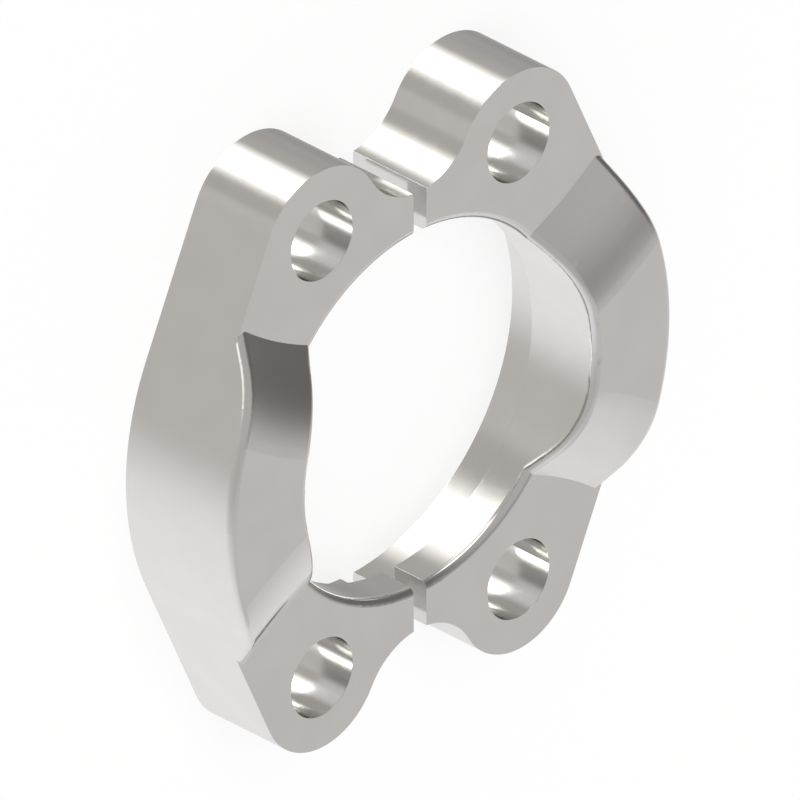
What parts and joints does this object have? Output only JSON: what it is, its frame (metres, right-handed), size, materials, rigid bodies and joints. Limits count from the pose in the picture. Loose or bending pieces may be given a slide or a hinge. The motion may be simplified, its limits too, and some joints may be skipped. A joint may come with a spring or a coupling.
{
  "type": "split flange clamp",
  "caption": "Split flange clamp in plain steel: C-shaped halves with bolt lugs and raised, ramped crowns round a neck bore, recessed at the port face to hold a flanged hose head.",
  "frame": {"origin": "on the port face, at the centre of the neck bore, which is the centre of the clamp's bottom", "axes": "+Z runs along the neck bore from the port face to the bolt pads, +Y along the long side of the bolt pattern, +X along its short side, across the split"},
  "size_m": [0.0964, 0.1028, 0.023],
  "materials": {
    "flange_steel": "satin"
  },
  "bodies": {
    "root": {"flange_half_right": "flange_steel", "flange_half_left": "flange_steel"}
  },
  "joints": []
}
